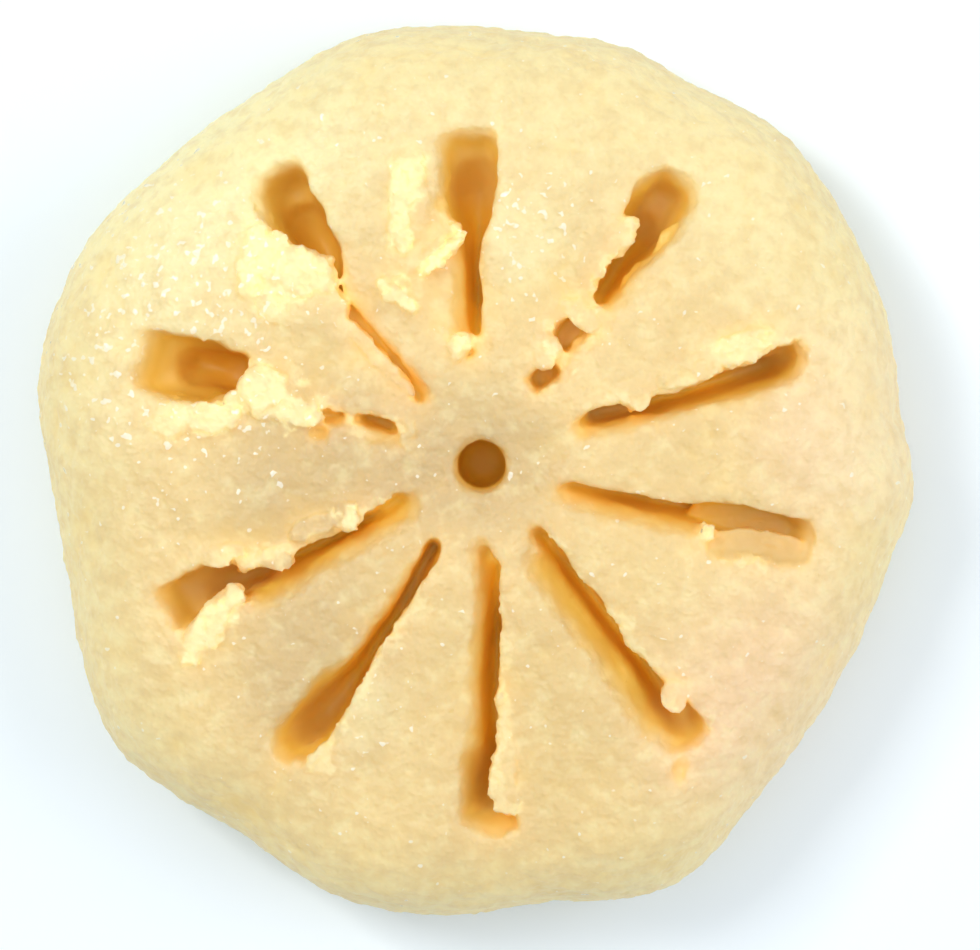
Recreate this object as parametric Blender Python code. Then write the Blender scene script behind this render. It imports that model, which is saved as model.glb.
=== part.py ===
"""A round shortbread cookie, pressed by hand and not browned.

The dough is a thick disc with an uneven round outline, a flat base, a full rounded side and a
low domed top. A blind pin hole marks the middle of the top, and ten blind slots run out from it,
narrow near the middle and wide at their outer ends. Beside the slots the dough is torn into flakes.

Lengths are metres, +Z is up, and the origin is the middle of the flat base.
Angles are degrees, anticlockwise from +X as seen from above.
"""

import math
from collections import namedtuple

import bmesh
import bpy
from mathutils import Vector, noise

MM = 0.001

# The whole disc
HEIGHT = 14.0 * MM
WIDEST_LEVEL = 5.0 * MM
SHOULDER_WIDTH = 8.6 * MM
SHOULDER_POWER = 2.25
FOOT_TUCK = 3.0 * MM
FOOT_POWER = 2.2

# The top
MIDDLE = Vector((0.60 * MM, 0.75 * MM))
DOME_DROP = 0.9 * MM
PETAL_RISE = 0.55 * MM
PETAL_POWER = 2.6
PETAL_START = 4.0 * MM
PETAL_OUTER = 22.5 * MM
PETAL_FADE = 4.5 * MM
LIP_RISE = 0.30 * MM
LIP_REACH = 1.5 * MM
HUB_RADIUS = 4.1 * MM
HUB_DIP = 0.55 * MM
HUB_LEDGE = 1.0 * MM
HUB_SLOPE = 1.6 * MM
LUMP_RISE = 0.16 * MM
LUMP_SIZE = 3.4 * MM

# The pin hole, and its section: distance from its axis over its radius, and height over its depth
HOLE_RADIUS = 1.48 * MM
HOLE_DEPTH = 6.2 * MM
HOLE_SIDES = 24
HOLE_SECTION = (
    (0.72, -1.0), (0.93, -0.94), (1.0, -0.80), (1.02, -0.20),
    (1.08, -0.07), (1.28, 0.01), (1.6, 0.06), (1.7, 0.35),
)

# How finely the shapes are divided
BODY_SIDES = 92
SHOULDER_RINGS = 7
FOOT_RINGS = 4
TOP_SHARES = (0.86, 0.72, 0.59, 0.46, 0.35, 0.25, 0.16, 0.08)
SLOT_STATION = 1.08 * MM
FEWEST_STATIONS = 7
END_CROWDING = 0.45
CUT_ABOVE = 2.2 * MM
CUTTER_HEART = 0.35 * MM

# What all cuts share: how round their ends are in plan, as shares of their widths, the share of the
# full depth at the inner end, at the outer end and at a blunt end, how much of the length the floor
# takes to rise, outside as a multiple of the width, and the rounded wall's share of a narrow width.
INNER_ROUND = 0.50
OUTER_ROUND = 0.32
BLUNT_END = 0.12
INNER_DEPTH_SHARE = 0.55
OUTER_DEPTH_SHARE = 0.16
FLOOR_RISE = 1.1
LONGEST_RISE = 0.45
INNER_RISE = 0.3
BLUNT_DEPTH_SHARE = 0.35
STEEPEST_SLOPE = 0.62
EDGE_SOFTNESS = 0.55 * MM

# The outline seen from above: angle, and distance from the middle of the base in millimetres
OUTLINE = (
    (0, 26.2), (8, 25.6), (22, 26.3), (36, 26.8), (50, 27.2), (60, 26.5), (70, 27.0),
    (86, 26.5), (104, 27.0), (120, 26.1), (136, 26.4), (152, 27.2), (166, 27.0), (182, 25.6),
    (196, 25.4), (217, 27.1), (237, 26.0), (255, 27.0), (279, 26.2), (295, 27.4), (313, 25.6),
    (330, 25.1), (348, 25.4), (355, 26.1),
)

# One cut in the top. inner and outer are (distance from the middle in mm, angle). narrow and wide
# are its widths in mm, and flare is where along its length it opens from one to the other.
# sharp is 1 if the torn upright wall is on the anticlockwise side and -1 if on the other side.
# slope is the width of the rounded wall facing it, ragged is how far the torn edge wanders,
# and bow is how far the cut bends to its anticlockwise side, all in mm.
Cut = namedtuple("Cut", "name inner outer narrow wide flare depth sharp slope ragged bow")
CUTS = (
    Cut("top", (6.8, 93), (19.5, 92), 0.9, 3.3, (0.36, 0.74), 5.4, -1, 0.9, 0.10, 0.1),
    Cut("upper_left", (12.4, 131), (20.9, 126), 1.3, 3.3, (0.02, 0.45), 5.2, -1, 1.1, 0.20, 0.0),
    Cut("upper_left_groove", (5.2, 130), (13.4, 131), 0.8, 1.0, (0.2, 0.8), 2.2, -1, 0.4, 0.08, 0.0),
    Cut("left", (14.0, 161), (20.3, 164), 1.7, 3.7, (0.05, 0.75), 5.2, -1, 1.2, 0.26, 0.0),
    Cut("left_gap", (8.3, 160), (10.4, 162), 1.0, 1.3, (0.2, 0.8), 3.4, -1, 0.4, 0.14, 0.0),
    Cut("left_slit", (4.9, 158), (8.0, 159), 0.8, 0.9, (0.2, 0.8), 4.4, -1, 0.5, 0.14, 0.0),
    Cut("lower_left", (5.2, 207), (19.9, 206), 0.9, 3.5, (0.50, 0.92), 5.0, -1, 0.7, 0.26, 0.3),
    Cut("bottom_left", (4.9, 241), (20.9, 235), 0.8, 2.9, (0.42, 0.80), 5.2, 1, 1.0, 0.10, 0.5),
    Cut("bottom", (5.2, 278), (21.8, 271.4), 1.2, 3.0, (0.62, 0.95), 5.4, 1, 0.9, 0.14, -0.2),
    Cut("bottom_right", (4.7, 309), (20.8, 307), 1.2, 2.4, (0.50, 0.92), 5.0, 1, 1.0, 0.20, 0.1),
    Cut("right", (4.9, 345), (19.9, 347), 1.2, 2.3, (0.45, 0.72), 4.8, 1, 1.0, 0.06, 0.0),
    Cut("right_upper", (6.2, 23), (20.0, 18), 1.4, 2.1, (0.45, 0.85), 5.0, 1, 1.0, 0.24, -0.3),
    Cut("upper_right", (11.4, 53), (20.2, 55), 1.5, 3.7, (0.15, 0.75), 5.6, 1, 1.2, 0.28, 0.0),
    Cut("upper_right_gap", (8.1, 56), (10.6, 54), 1.4, 1.5, (0.2, 0.8), 4.6, 1, 0.4, 0.18, 0.0),
    Cut("upper_right_slit", (5.5, 54), (7.6, 53), 1.1, 1.2, (0.2, 0.8), 4.2, 1, 0.4, 0.14, 0.0),
)

# The lines of the ten slots, between which the ten petals swell
PETAL_SEAMS = (20, 54, 92, 128, 162, 206, 238, 274, 308, 346)

# One torn flake of dough fused to the top: distance and angle of its middle from the middle of the
# top, its length, width and height above the dough, and its heading, in mm and degrees. torn is 1
# if its raised ragged edge is on the left of its heading, and -1 if it is on the right.
Flake = namedtuple("Flake", "distance angle length width height heading torn")
FLAKES = (
    Flake(14.6, 138, 5.4, 3.2, 0.75, 133, -1),
    Flake(12.0, 137, 3.4, 2.3, 0.60, 140, -1),
    Flake(17.7, 133, 2.8, 1.9, 0.55, 105, -1),
    Flake(15.8, 169, 3.2, 1.8, 0.75, 176, -1),
    Flake(18.4, 170, 2.2, 1.5, 0.55, 20, 1),
    Flake(12.0, 163, 4.6, 3.0, 0.70, 165, -1),
    Flake(9.2, 167, 2.6, 1.6, 0.50, 130, -1),
    Flake(17.8, 211, 5.8, 2.1, 0.85, 54, 1),
    Flake(15.4, 206, 1.5, 1.1, 0.70, 20, 1),
    Flake(13.7, 205, 2.2, 1.3, 0.60, 25, 1),
    Flake(8.4, 199, 1.9, 1.5, 0.80, 60, -1),
    Flake(16.2, 104, 5.2, 2.0, 0.60, 95, -1),
    Flake(12.9, 101, 4.0, 1.1, 0.90, 42, -1),
    Flake(11.0, 116, 2.7, 1.6, 0.65, 145, -1),
    Flake(7.2, 97, 1.5, 1.1, 0.65, 10, 1),
    Flake(10.9, 53, 2.2, 1.3, 0.60, 30, 1),
    Flake(7.9, 60, 1.8, 1.5, 0.85, 75, -1),
    Flake(13.6, 63, 3.4, 1.5, 0.50, 60, -1),
    Flake(14.0, 25, 5.8, 1.7, 0.70, 16, -1),
    Flake(18.0, 22, 3.0, 1.6, 0.60, 30, -1),
    Flake(9.7, 23, 1.6, 1.1, 0.60, 110, -1),
    Flake(13.4, 345, 1.2, 0.9, 0.45, 80, 1),
    Flake(17.6, 310, 1.8, 1.4, 0.65, 40, -1),
    Flake(13.6, 275, 1.1, 0.9, 0.60, 60, 1),
    Flake(19.4, 276, 1.8, 1.3, 0.60, 150, 1),
    Flake(19.8, 240, 2.4, 1.5, 0.50, 50, 1),
)
FLAKE_SIDES = 11
FLAKE_ROUGHNESS = 0.42
FLAKE_ROOT = 0.9 * MM
FLUSH_SHARE = 0.42

# The layers of a flake from its root up: its spread, its share of the height, and how even it is
FLAKE_LAYERS = ((0.90, None, 0.0), (1.0, 0.30, 0.0), (0.86, 0.86, 0.1), (0.42, 1.0, 0.35))

CRUMB_COLOUR = (0.88, 0.70, 0.36, 1.0)
CRUMB_ROUGHNESS = 0.5
SHARP_ANGLE = math.radians(35.0)


def smooth(share):
    """0 below 0, 1 above 1, and an even curve between."""
    share = min(max(share, 0.0), 1.0)
    return share * share * (3.0 - 2.0 * share)


def unit(angle):
    """The level direction at this angle."""
    turn = math.radians(angle)
    return Vector((math.cos(turn), math.sin(turn)))


def outline_radius(angle):
    """The distance from the middle of the base to the widest edge: a closed curve through OUTLINE."""
    angle %= 360.0
    count = len(OUTLINE)
    start = max(i for i in range(count) if OUTLINE[i][0] <= angle)
    around = []
    for step in (-1, 0, 1, 2):
        turns, place = divmod(start + step, count)
        around.append((OUTLINE[place][0] + 360.0 * turns, OUTLINE[place][1] * MM))
    (a0, r0), (a1, r1), (a2, r2), (a3, r3) = around
    slope_1 = (r2 - r0) / (a2 - a0)
    slope_2 = (r3 - r1) / (a3 - a1)
    gap = a2 - a1
    t = (angle - a1) / gap
    start_part = (1 + 2 * t) * (1 - t) ** 2 * r1 + t * (1 - t) ** 2 * gap * slope_1
    end_part = t * t * (3 - 2 * t) * r2 + t * t * (t - 1) * gap * slope_2
    return start_part + end_part


def outline_shift():
    """What moves the outline so that the middle of its box is the origin."""
    points = [unit(a) * outline_radius(a) for a in range(360)]
    xs = [p.x for p in points]
    ys = [p.y for p in points]
    return -Vector((max(xs) + min(xs), max(ys) + min(ys))) / 2


def petal_share(angle):
    """0 on the line of a slot and 1 on the crown of a petal."""
    gaps = sorted((angle - seam) % 360.0 for seam in PETAL_SEAMS)
    past = gaps[0]
    ahead = 360.0 - gaps[-1]
    across = past / (past + ahead)
    return 1.0 - abs(2.0 * across - 1.0) ** PETAL_POWER


def lip_height(point):
    """The raised lip of dough along the torn side of each cut."""
    height = 0.0
    distance = point.length / MM
    for cut in CUTS:
        along = (distance - cut.inner[0]) / (cut.outer[0] - cut.inner[0])
        if not -0.1 < along < 1.05:
            continue
        middle = cut_middle(cut, along)
        off = cut.sharp * (point - middle).dot(cut_side(cut))
        off -= 0.5 * cut_width(cut, along)
        if -0.2 * MM < off < LIP_REACH:
            rise = smooth(1.0 - off / LIP_REACH) * smooth((along + 0.1) / 0.2)
            height = max(height, LIP_RISE * rise * smooth((1.05 - along) / 0.3))
    return height


def top_height(x, y):
    """The height of the dough's upper surface over a point, from the widest level to the crown."""
    from_base = Vector((x, y)) - OUTLINE_SHIFT
    angle = math.degrees(math.atan2(from_base.y, from_base.x))
    inward = (outline_radius(angle) - from_base.length) / SHOULDER_WIDTH
    inward = min(max(inward, 0.0), 1.0)
    round_part = (1.0 - (1.0 - inward) ** SHOULDER_POWER) ** (1.0 / SHOULDER_POWER)
    height = WIDEST_LEVEL + (HEIGHT - WIDEST_LEVEL) * round_part

    from_middle = Vector((x, y)) - MIDDLE
    distance = from_middle.length
    seam_angle = math.degrees(math.atan2(from_middle.y, from_middle.x))
    flat = smooth(inward)
    height -= DOME_DROP * (distance / outline_radius(angle)) ** 2 * flat
    ring = smooth((distance - HUB_RADIUS) / PETAL_START) * smooth((PETAL_OUTER - distance) / PETAL_FADE)
    height -= PETAL_RISE * (1.0 - petal_share(seam_angle)) * ring
    height += lip_height(from_middle)
    height -= HUB_DIP * smooth((HUB_RADIUS + HUB_LEDGE - distance) / HUB_SLOPE)
    coarse = noise.noise(Vector((x, y, 0.0)) / LUMP_SIZE)
    fine = noise.noise(Vector((y, x, 1.0)) * 2.0 / LUMP_SIZE)
    return height + LUMP_RISE * (coarse + 0.5 * fine) * smooth(inward * 2.0)


def skin(rings, first_heart, last_heart):
    """A closed bmesh through rings of equally many points, each end closed round its heart."""
    bm = bmesh.new()
    loops = [[bm.verts.new(point) for point in ring] for ring in rings]
    count = len(loops[0])
    for low, high in zip(loops, loops[1:]):
        for i in range(count):
            j = (i + 1) % count
            bm.faces.new((low[i], low[j], high[j], high[i]))
    for loop, heart in ((loops[0], first_heart), (loops[-1], last_heart)):
        heart = bm.verts.new(heart)
        for i in range(count):
            bm.faces.new((loop[i], loop[(i + 1) % count], heart))
    return bm


def new_object(name, bm):
    """A finished bmesh as an object in the scene, its faces pointing outwards."""
    bmesh.ops.recalc_face_normals(bm, faces=bm.faces)
    mesh = bpy.data.meshes.new(name)
    bm.to_mesh(mesh)
    bm.free()
    thing = bpy.data.objects.new(name, mesh)
    bpy.context.scene.collection.objects.link(thing)
    return thing


def make_body():
    """The uncut disc: a flat base, a tucked foot, a round side and the domed top."""
    rings = []
    for step in range(FOOT_RINGS + 1):
        turn = 0.5 * math.pi * step / FOOT_RINGS
        tuck = FOOT_TUCK * (1.0 - math.sin(turn) ** (2.0 / FOOT_POWER))
        level = WIDEST_LEVEL * (1.0 - math.cos(turn) ** (2.0 / FOOT_POWER))
        ring = []
        for i in range(BODY_SIDES):
            angle = 360.0 * i / BODY_SIDES
            point = unit(angle) * (outline_radius(angle) - tuck) + OUTLINE_SHIFT
            ring.append((point.x, point.y, level))
        rings.append(ring)
    for step in range(1, SHOULDER_RINGS + 1):
        turn = 0.5 * math.pi * step / SHOULDER_RINGS
        inward = 1.0 - math.cos(turn) ** (2.0 / SHOULDER_POWER)
        rings.append(top_ring(inward, 1.0))
    rings += [top_ring(1.0, share) for share in TOP_SHARES]
    crown = (MIDDLE.x, MIDDLE.y, top_height(MIDDLE.x, MIDDLE.y))
    return new_object("shortbread", skin(rings, (0.0, 0.0, 0.0), crown))


def top_ring(inward, share):
    """One ring of the upper surface, inward from the edge and then shrunk by share to the middle."""
    ring = []
    for i in range(BODY_SIDES):
        angle = 360.0 * i / BODY_SIDES
        edge = unit(angle) * (outline_radius(angle) - inward * SHOULDER_WIDTH) + OUTLINE_SHIFT
        point = MIDDLE + (edge - MIDDLE) * share
        ring.append((point.x, point.y, top_height(point.x, point.y)))
    return ring


def cut_side(cut):
    """The level direction that points to the anticlockwise side of a cut."""
    ends = unit(cut.outer[1]) * cut.outer[0] - unit(cut.inner[1]) * cut.inner[0]
    ends.normalize()
    return Vector((-ends.y, ends.x))


def cut_middle(cut, along):
    """The point on the middle line of a cut, measured from the middle of the top."""
    inner = unit(cut.inner[1]) * cut.inner[0] * MM
    outer = unit(cut.outer[1]) * cut.outer[0] * MM
    bend = cut.bow * MM * math.sin(math.pi * min(max(along, 0.0), 1.0))
    return inner.lerp(outer, along) + cut_side(cut) * bend


def cut_width(cut, along):
    """The width of a cut between its torn edge and the top of its rounded wall."""
    opening = smooth((along - cut.flare[0]) / (cut.flare[1] - cut.flare[0]))
    return (cut.narrow + (cut.wide - cut.narrow) * opening) * MM


def cut_rings(cut, seed):
    """The sections of a cutter, from the inner end of the cut to its outer end."""
    length = (cut.outer[0] - cut.inner[0]) * MM
    steps = max(FEWEST_STATIONS, round(length / SLOT_STATION))
    inner_round = INNER_ROUND * cut.narrow * MM / length
    outer_round = OUTER_ROUND * cut.wide * MM / length
    shallows = min(LONGEST_RISE, FLOOR_RISE * cut.wide * MM / length)
    rings = []
    for step in range(steps + 1):
        even = step / steps
        along = even - END_CROWDING * math.sin(math.tau * even) / math.tau
        near = min(1.0, along / inner_round + BLUNT_END)
        far = min(1.0, (1.0 - along) / outer_round + BLUNT_END)
        end = math.sqrt(1.0 - (1.0 - near) ** 2) * math.sqrt(1.0 - (1.0 - far) ** 2)
        width = cut_width(cut, along) * end
        slope = min(cut.slope * MM, STEEPEST_SLOPE * width)
        depth = cut.depth * MM
        depth *= INNER_DEPTH_SHARE + (1.0 - INNER_DEPTH_SHARE) * smooth(along / INNER_RISE)
        depth *= OUTER_DEPTH_SHARE + (1.0 - OUTER_DEPTH_SHARE) * smooth((1.0 - along) / shallows)
        depth *= BLUNT_DEPTH_SHARE + (1.0 - BLUNT_DEPTH_SHARE) * end
        torn = cut.ragged * MM * 1.6 * noise.noise(Vector((7.3 * step, seed, 0.5)))
        rings.append(cut_section(cut, along, width, slope, depth, torn * end ** 3))
    return rings


def cut_section(cut, along, width, slope, depth, torn):
    """One section of a cutter: the upright torn wall, the floor and the rounded wall facing it."""
    side = cut_side(cut) * cut.sharp
    middle = MIDDLE + cut_middle(cut, along)
    half = width / 2.0
    edge = half + torn
    undercut = 0.05 * depth
    shape = (
        (edge + 0.05 * MM, CUT_ABOVE),
        (edge, 0.0),
        (half + undercut, -0.45 * depth),
        (half - 0.10 * width, -0.90 * depth),
        (half - 0.25 * width, -depth),
        (0.45 * (slope - half) + 0.25 * half, -0.97 * depth),
        (slope - half, -0.80 * depth),
        (0.62 * slope - half, -0.42 * depth),
        (0.28 * slope - half, -0.16 * depth),
        (-half, -0.02 * depth),
        (-half - EDGE_SOFTNESS, 0.18 * EDGE_SOFTNESS),
        (-half - 2.2 * EDGE_SOFTNESS, CUT_ABOVE),
    )
    ring = []
    for across, rise in shape:
        point = middle + side * across
        ring.append((point.x, point.y, top_height(point.x, point.y) + rise))
    return ring


def make_cutter(cut, seed):
    """The solid that a cut takes out of the dough."""
    hearts = []
    for along in (0.0, 1.0):
        middle = MIDDLE + cut_middle(cut, along)
        hearts.append((middle.x, middle.y, top_height(middle.x, middle.y) + CUTTER_HEART))
    return new_object("cutter_" + cut.name, skin(cut_rings(cut, seed), *hearts))


def make_hole_cutter():
    """The pin hole: a round blind hole with a soft rim."""
    ground = top_height(MIDDLE.x, MIDDLE.y)
    rings = []
    for wide, rise in HOLE_SECTION:
        ring = []
        for i in range(HOLE_SIDES):
            point = MIDDLE + unit(360.0 * i / HOLE_SIDES) * wide * HOLE_RADIUS
            ring.append((point.x, point.y, ground + rise * HOLE_DEPTH))
        rings.append(ring)
    hearts = [(MIDDLE.x, MIDDLE.y, ground + rise * HOLE_DEPTH) for _, rise in HOLE_SECTION]
    return new_object("cutter_hole", skin(rings, hearts[0], hearts[-1]))


def make_flake(flake, seed):
    """One torn flake: a ragged slab rooted in the dough, flush on one side and raised on the other."""
    place = MIDDLE + unit(flake.angle) * flake.distance * MM
    ahead = unit(flake.heading)
    left = Vector((-ahead.y, ahead.x))
    rings = []
    for spread, rise, calm in FLAKE_LAYERS:
        ring = []
        for i in range(FLAKE_SIDES):
            turn = 2.0 * math.pi * i / FLAKE_SIDES
            rough = noise.noise(Vector((1.5 * math.cos(turn), 1.5 * math.sin(turn), 2.7 * seed + spread)))
            reach = spread * (1.0 + 1.8 * FLAKE_ROUGHNESS * (1.0 - calm) * rough)
            forward = 0.5 * flake.length * MM * math.cos(turn) * reach
            across = math.sin(turn) * reach
            point = place + ahead * forward + left * 0.5 * flake.width * MM * across
            tilt = FLUSH_SHARE + (1.0 - FLUSH_SHARE) * smooth(0.5 + 0.75 * across * flake.torn)
            above = -FLAKE_ROOT if rise is None else rise * tilt * flake.height * MM
            ring.append((point.x, point.y, top_height(point.x, point.y) + above))
        rings.append(ring)
    ground = top_height(place.x, place.y)
    hearts = [(place.x, place.y, ground + rise) for rise in (-FLAKE_ROOT, flake.height * MM)]
    return new_object("flake", skin(rings, *hearts))


def combine(target, helpers, operation):
    """Cuts the helpers out of the target, or joins them to it, and removes them."""
    group = bpy.data.collections.new("helpers")
    bpy.context.scene.collection.children.link(group)
    for helper in helpers:
        group.objects.link(helper)
    modifier = target.modifiers.new("combine", "BOOLEAN")
    modifier.operation = operation
    modifier.operand_type = "COLLECTION"
    modifier.collection = group
    modifier.solver = "EXACT"
    graph = bpy.context.evaluated_depsgraph_get()
    made = bpy.data.meshes.new_from_object(target.evaluated_get(graph))
    target.modifiers.clear()
    old = target.data
    target.data = made
    bpy.data.meshes.remove(old)
    for helper in helpers:
        bpy.data.objects.remove(helper)
    bpy.data.collections.remove(group)


def dough_material():
    """Pale buttery dough."""
    material = bpy.data.materials.new("pale_shortbread")
    material.use_nodes = True
    shader = material.node_tree.nodes["Principled BSDF"]
    shader.inputs["Base Color"].default_value = CRUMB_COLOUR
    shader.inputs["Roughness"].default_value = CRUMB_ROUGHNESS
    shader.inputs["Metallic"].default_value = 0.0
    return material


def make_cookie():
    """The dough with its slots, its hole and its torn flakes, as one solid."""
    cookie = make_body()
    cutters = [make_cutter(cut, seed) for seed, cut in enumerate(CUTS)]
    combine(cookie, cutters + [make_hole_cutter()], "DIFFERENCE")
    combine(cookie, [make_flake(flake, seed) for seed, flake in enumerate(FLAKES)], "UNION")
    cookie.data.materials.clear()
    cookie.data.materials.append(dough_material())
    cookie.data.shade_smooth()
    cookie.data.set_sharp_from_angle(angle=SHARP_ANGLE)
    return cookie


for thing in list(bpy.data.objects):
    bpy.data.objects.remove(thing)
OUTLINE_SHIFT = outline_shift()
make_cookie()
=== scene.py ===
# %% [markdown]
# # A pale shortbread cookie
#
# A hand-pressed shortbread cookie lies on a pale table: a thick round of unbrowned dough with a pin
# hole in the middle and ten slots pressed outwards from it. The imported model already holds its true
# form as one plain solid. This lesson turns that solid into something good enough to eat: it is
# softened where dough is soft, torn where dough tears, given its fine crumb, and then coloured.

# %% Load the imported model
import math
import random

import bpy
import numpy as np
from mathutils import Matrix, Vector
from mathutils.noise import noise_vector, seed_set


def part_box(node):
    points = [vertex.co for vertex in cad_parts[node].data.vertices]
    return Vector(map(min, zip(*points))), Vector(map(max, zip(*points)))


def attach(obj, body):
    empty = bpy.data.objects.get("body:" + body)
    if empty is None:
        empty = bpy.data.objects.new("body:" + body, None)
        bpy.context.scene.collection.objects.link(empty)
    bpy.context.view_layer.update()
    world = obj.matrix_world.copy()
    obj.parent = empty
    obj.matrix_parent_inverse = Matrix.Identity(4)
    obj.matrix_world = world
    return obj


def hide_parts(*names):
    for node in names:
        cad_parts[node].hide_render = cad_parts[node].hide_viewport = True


MM = 0.001
NODE = "shortbread"

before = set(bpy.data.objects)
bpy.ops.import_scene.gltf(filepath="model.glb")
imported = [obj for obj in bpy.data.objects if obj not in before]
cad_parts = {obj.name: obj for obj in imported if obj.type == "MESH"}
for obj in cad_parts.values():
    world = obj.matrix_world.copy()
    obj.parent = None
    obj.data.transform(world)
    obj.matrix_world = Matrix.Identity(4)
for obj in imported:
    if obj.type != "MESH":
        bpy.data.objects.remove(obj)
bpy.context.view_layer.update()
bpy.ops.object.select_all(action="DESELECT")
low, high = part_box(NODE)
print("The solid is", [round(side / MM, 1) for side in high - low], "mm")

# %% [markdown]
# ## The camera
#
# The photograph looks almost straight down from a little way off, as a phone held over a table does.
# It leans about four degrees towards the upper right: that is why the lower left wall of the pin
# hole and of each slot shows, and the wall facing it doesn't. A long lens from 30 cm would give the
# same view as a short one from 30 cm, cropped, so the lens is worked out from how many millimetres
# of cookie one pixel covers.

# %% Place the camera
PICTURE = (980, 950)
MM_A_PIXEL = 0.06
AIM = Vector((0.84, -0.21, 5.0)) * MM
CAMERA_DISTANCE = 295.0 * MM
CAMERA_LEAN = math.radians(4.0)
CAMERA_HEADING = math.radians(51.0)
CAMERA_NEAREST = 10.0 * MM
SENSOR = 36.0

sideways = math.sin(CAMERA_LEAN)
towards = Vector((sideways * math.cos(CAMERA_HEADING), sideways * math.sin(CAMERA_HEADING),
                  math.cos(CAMERA_LEAN)))
right = Vector((0, 1, 0)).cross(towards).normalized()
up = towards.cross(right)
turn = Matrix((right, up, towards)).transposed()
bpy.ops.object.camera_add(location=AIM + towards * CAMERA_DISTANCE, rotation=turn.to_euler())
camera = bpy.context.object
camera.data.sensor_width = SENSOR
camera.data.lens = SENSOR * CAMERA_DISTANCE / (PICTURE[0] * MM_A_PIXEL * MM)
camera.data.clip_start = CAMERA_NEAREST
bpy.context.scene.camera = camera
print("The lens is", round(camera.data.lens), "mm on a", SENSOR, "mm sensor")

# %% [markdown]
# ## The floor
#
# The table is a plain pale sheet with a cool tint.

# %% Lay the floor
FLOOR_SIZE = 1.2
FLOOR_COLOUR = (0.90, 0.965, 1.0, 1.0)
FLOOR_ROUGHNESS = 0.8

bpy.ops.mesh.primitive_plane_add(size=FLOOR_SIZE, location=(0, 0, 0))
floor = bpy.context.object
floor.name = "floor"
paper = bpy.data.materials.new("pale_table")
paper.use_nodes = True
paper_shader = paper.node_tree.nodes["Principled BSDF"]
paper_shader.inputs["Base Color"].default_value = FLOOR_COLOUR
paper_shader.inputs["Roughness"].default_value = FLOOR_ROUGHNESS
floor.data.materials.append(paper)
print("The floor is", FLOOR_SIZE, "m wide")

# %% [markdown]
# ## The light
#
# Four square lights stand round the cookie. A window at the upper left brightens that side of the rim
# and leaves a faint shadow at the lower right. A small lamp beside it gives the shiny specks something
# to glint with. A wide ceiling light reaches down into the slots, and a softer window on the right
# keeps that side of the rim from going dull. An even pale world does the rest.

# %% Set up the lights
# Each light: its name, its place and its side in metres, its power in watts, and its colour
LIGHTS = (
    ("window", (-0.22, 0.17, 0.42), 0.14, 0.70, (1.0, 0.99, 0.97)),
    ("lamp", (-0.18, 0.16, 0.28), 0.03, 0.09, (1.0, 1.0, 0.98)),
    ("ceiling", (-0.05, 0.08, 0.55), 0.45, 0.32, (1.0, 1.0, 1.0)),
    ("other_window", (0.30, 0.02, 0.28), 0.25, 0.52, (0.98, 0.95, 1.0)),
)
WORLD_COLOUR = (0.90, 0.97, 1.05, 1.0)
WORLD_STRENGTH = 0.60


def add_soft_light(name, place, side, power, colour):
    """A square light that faces the middle of the cookie."""
    bpy.ops.object.light_add(type="AREA", location=place)
    lamp = bpy.context.object
    lamp.name = name
    lamp.rotation_euler = Vector(place).to_track_quat("Z", "Y").to_euler()
    lamp.data.size = side
    lamp.data.energy = power
    lamp.data.color = colour


for light in LIGHTS:
    add_soft_light(*light)
world = bpy.data.worlds.new("room")
bpy.context.scene.world = world
world.use_nodes = True
background = world.node_tree.nodes["Background"]
background.inputs["Color"].default_value = WORLD_COLOUR
background.inputs["Strength"].default_value = WORLD_STRENGTH
bpy.context.scene.view_settings.view_transform = "Standard"
print(len(LIGHTS), "lights stand round the cookie")

# %% [markdown]
# ## Start from the solid
#
# A sculptor starts from a block of the right size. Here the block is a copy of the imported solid, so
# the finished cookie keeps its form to a fraction of a millimetre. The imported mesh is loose
# triangles, so the copy's doubled points are merged before anything else is done to it.

# %% Copy the solid and merge its points
MERGE = 0.02 * MM


def select_only(thing):
    """Leaves one object selected and active."""
    bpy.ops.object.select_all(action="DESELECT")
    thing.select_set(True)
    bpy.context.view_layer.objects.active = thing


def edit(thing, *steps):
    """Runs edit-mode steps with the whole mesh selected."""
    select_only(thing)
    bpy.ops.object.mode_set(mode="EDIT")
    bpy.ops.mesh.select_all(action="SELECT")
    for step in steps:
        step()
    bpy.ops.object.mode_set(mode="OBJECT")


def finish_with(thing, kind, **settings):
    """Adds a modifier, sets it and applies it."""
    select_only(thing)
    modifier = thing.modifiers.new(kind.lower(), kind)
    for name, value in settings.items():
        setattr(modifier, name, value)
    bpy.ops.object.modifier_apply(modifier=modifier.name)


def points_of(thing):
    """The points of a mesh as rows of x, y and z."""
    rows = np.empty(len(thing.data.vertices) * 3, np.float32)
    thing.data.vertices.foreach_get("co", rows)
    return rows.reshape(-1, 3).astype(float)


def normals_of(thing):
    """The direction that each point of a mesh faces."""
    rows = np.empty(len(thing.data.vertices) * 3, np.float32)
    thing.data.vertex_normals.foreach_get("vector", rows)
    return rows.reshape(-1, 3).astype(float)


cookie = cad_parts[NODE].copy()
cookie.data = cookie.data.copy()
cookie.name = "cookie"
bpy.context.scene.collection.objects.link(cookie)
cookie.parent = None
cookie.data.materials.clear()
edit(cookie, lambda: bpy.ops.mesh.remove_doubles(threshold=MERGE))
print("The block has", len(cookie.data.polygons), "faces")

# %% [markdown]
# ## Even clay
#
# The block has long thin faces, which don't bend well. A voxel remesh turns them into small even
# squares, like clay, and everything that overlaps becomes one skin.
#
# The script then needs to know where the slots and the flakes are. It lays a grid over the top and
# keeps the highest point in each cell. Filling the grid's narrow dips gives the lid that the slots
# were pressed into, and shaving off its narrow peaks gives the ground that the flakes stand on.

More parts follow.
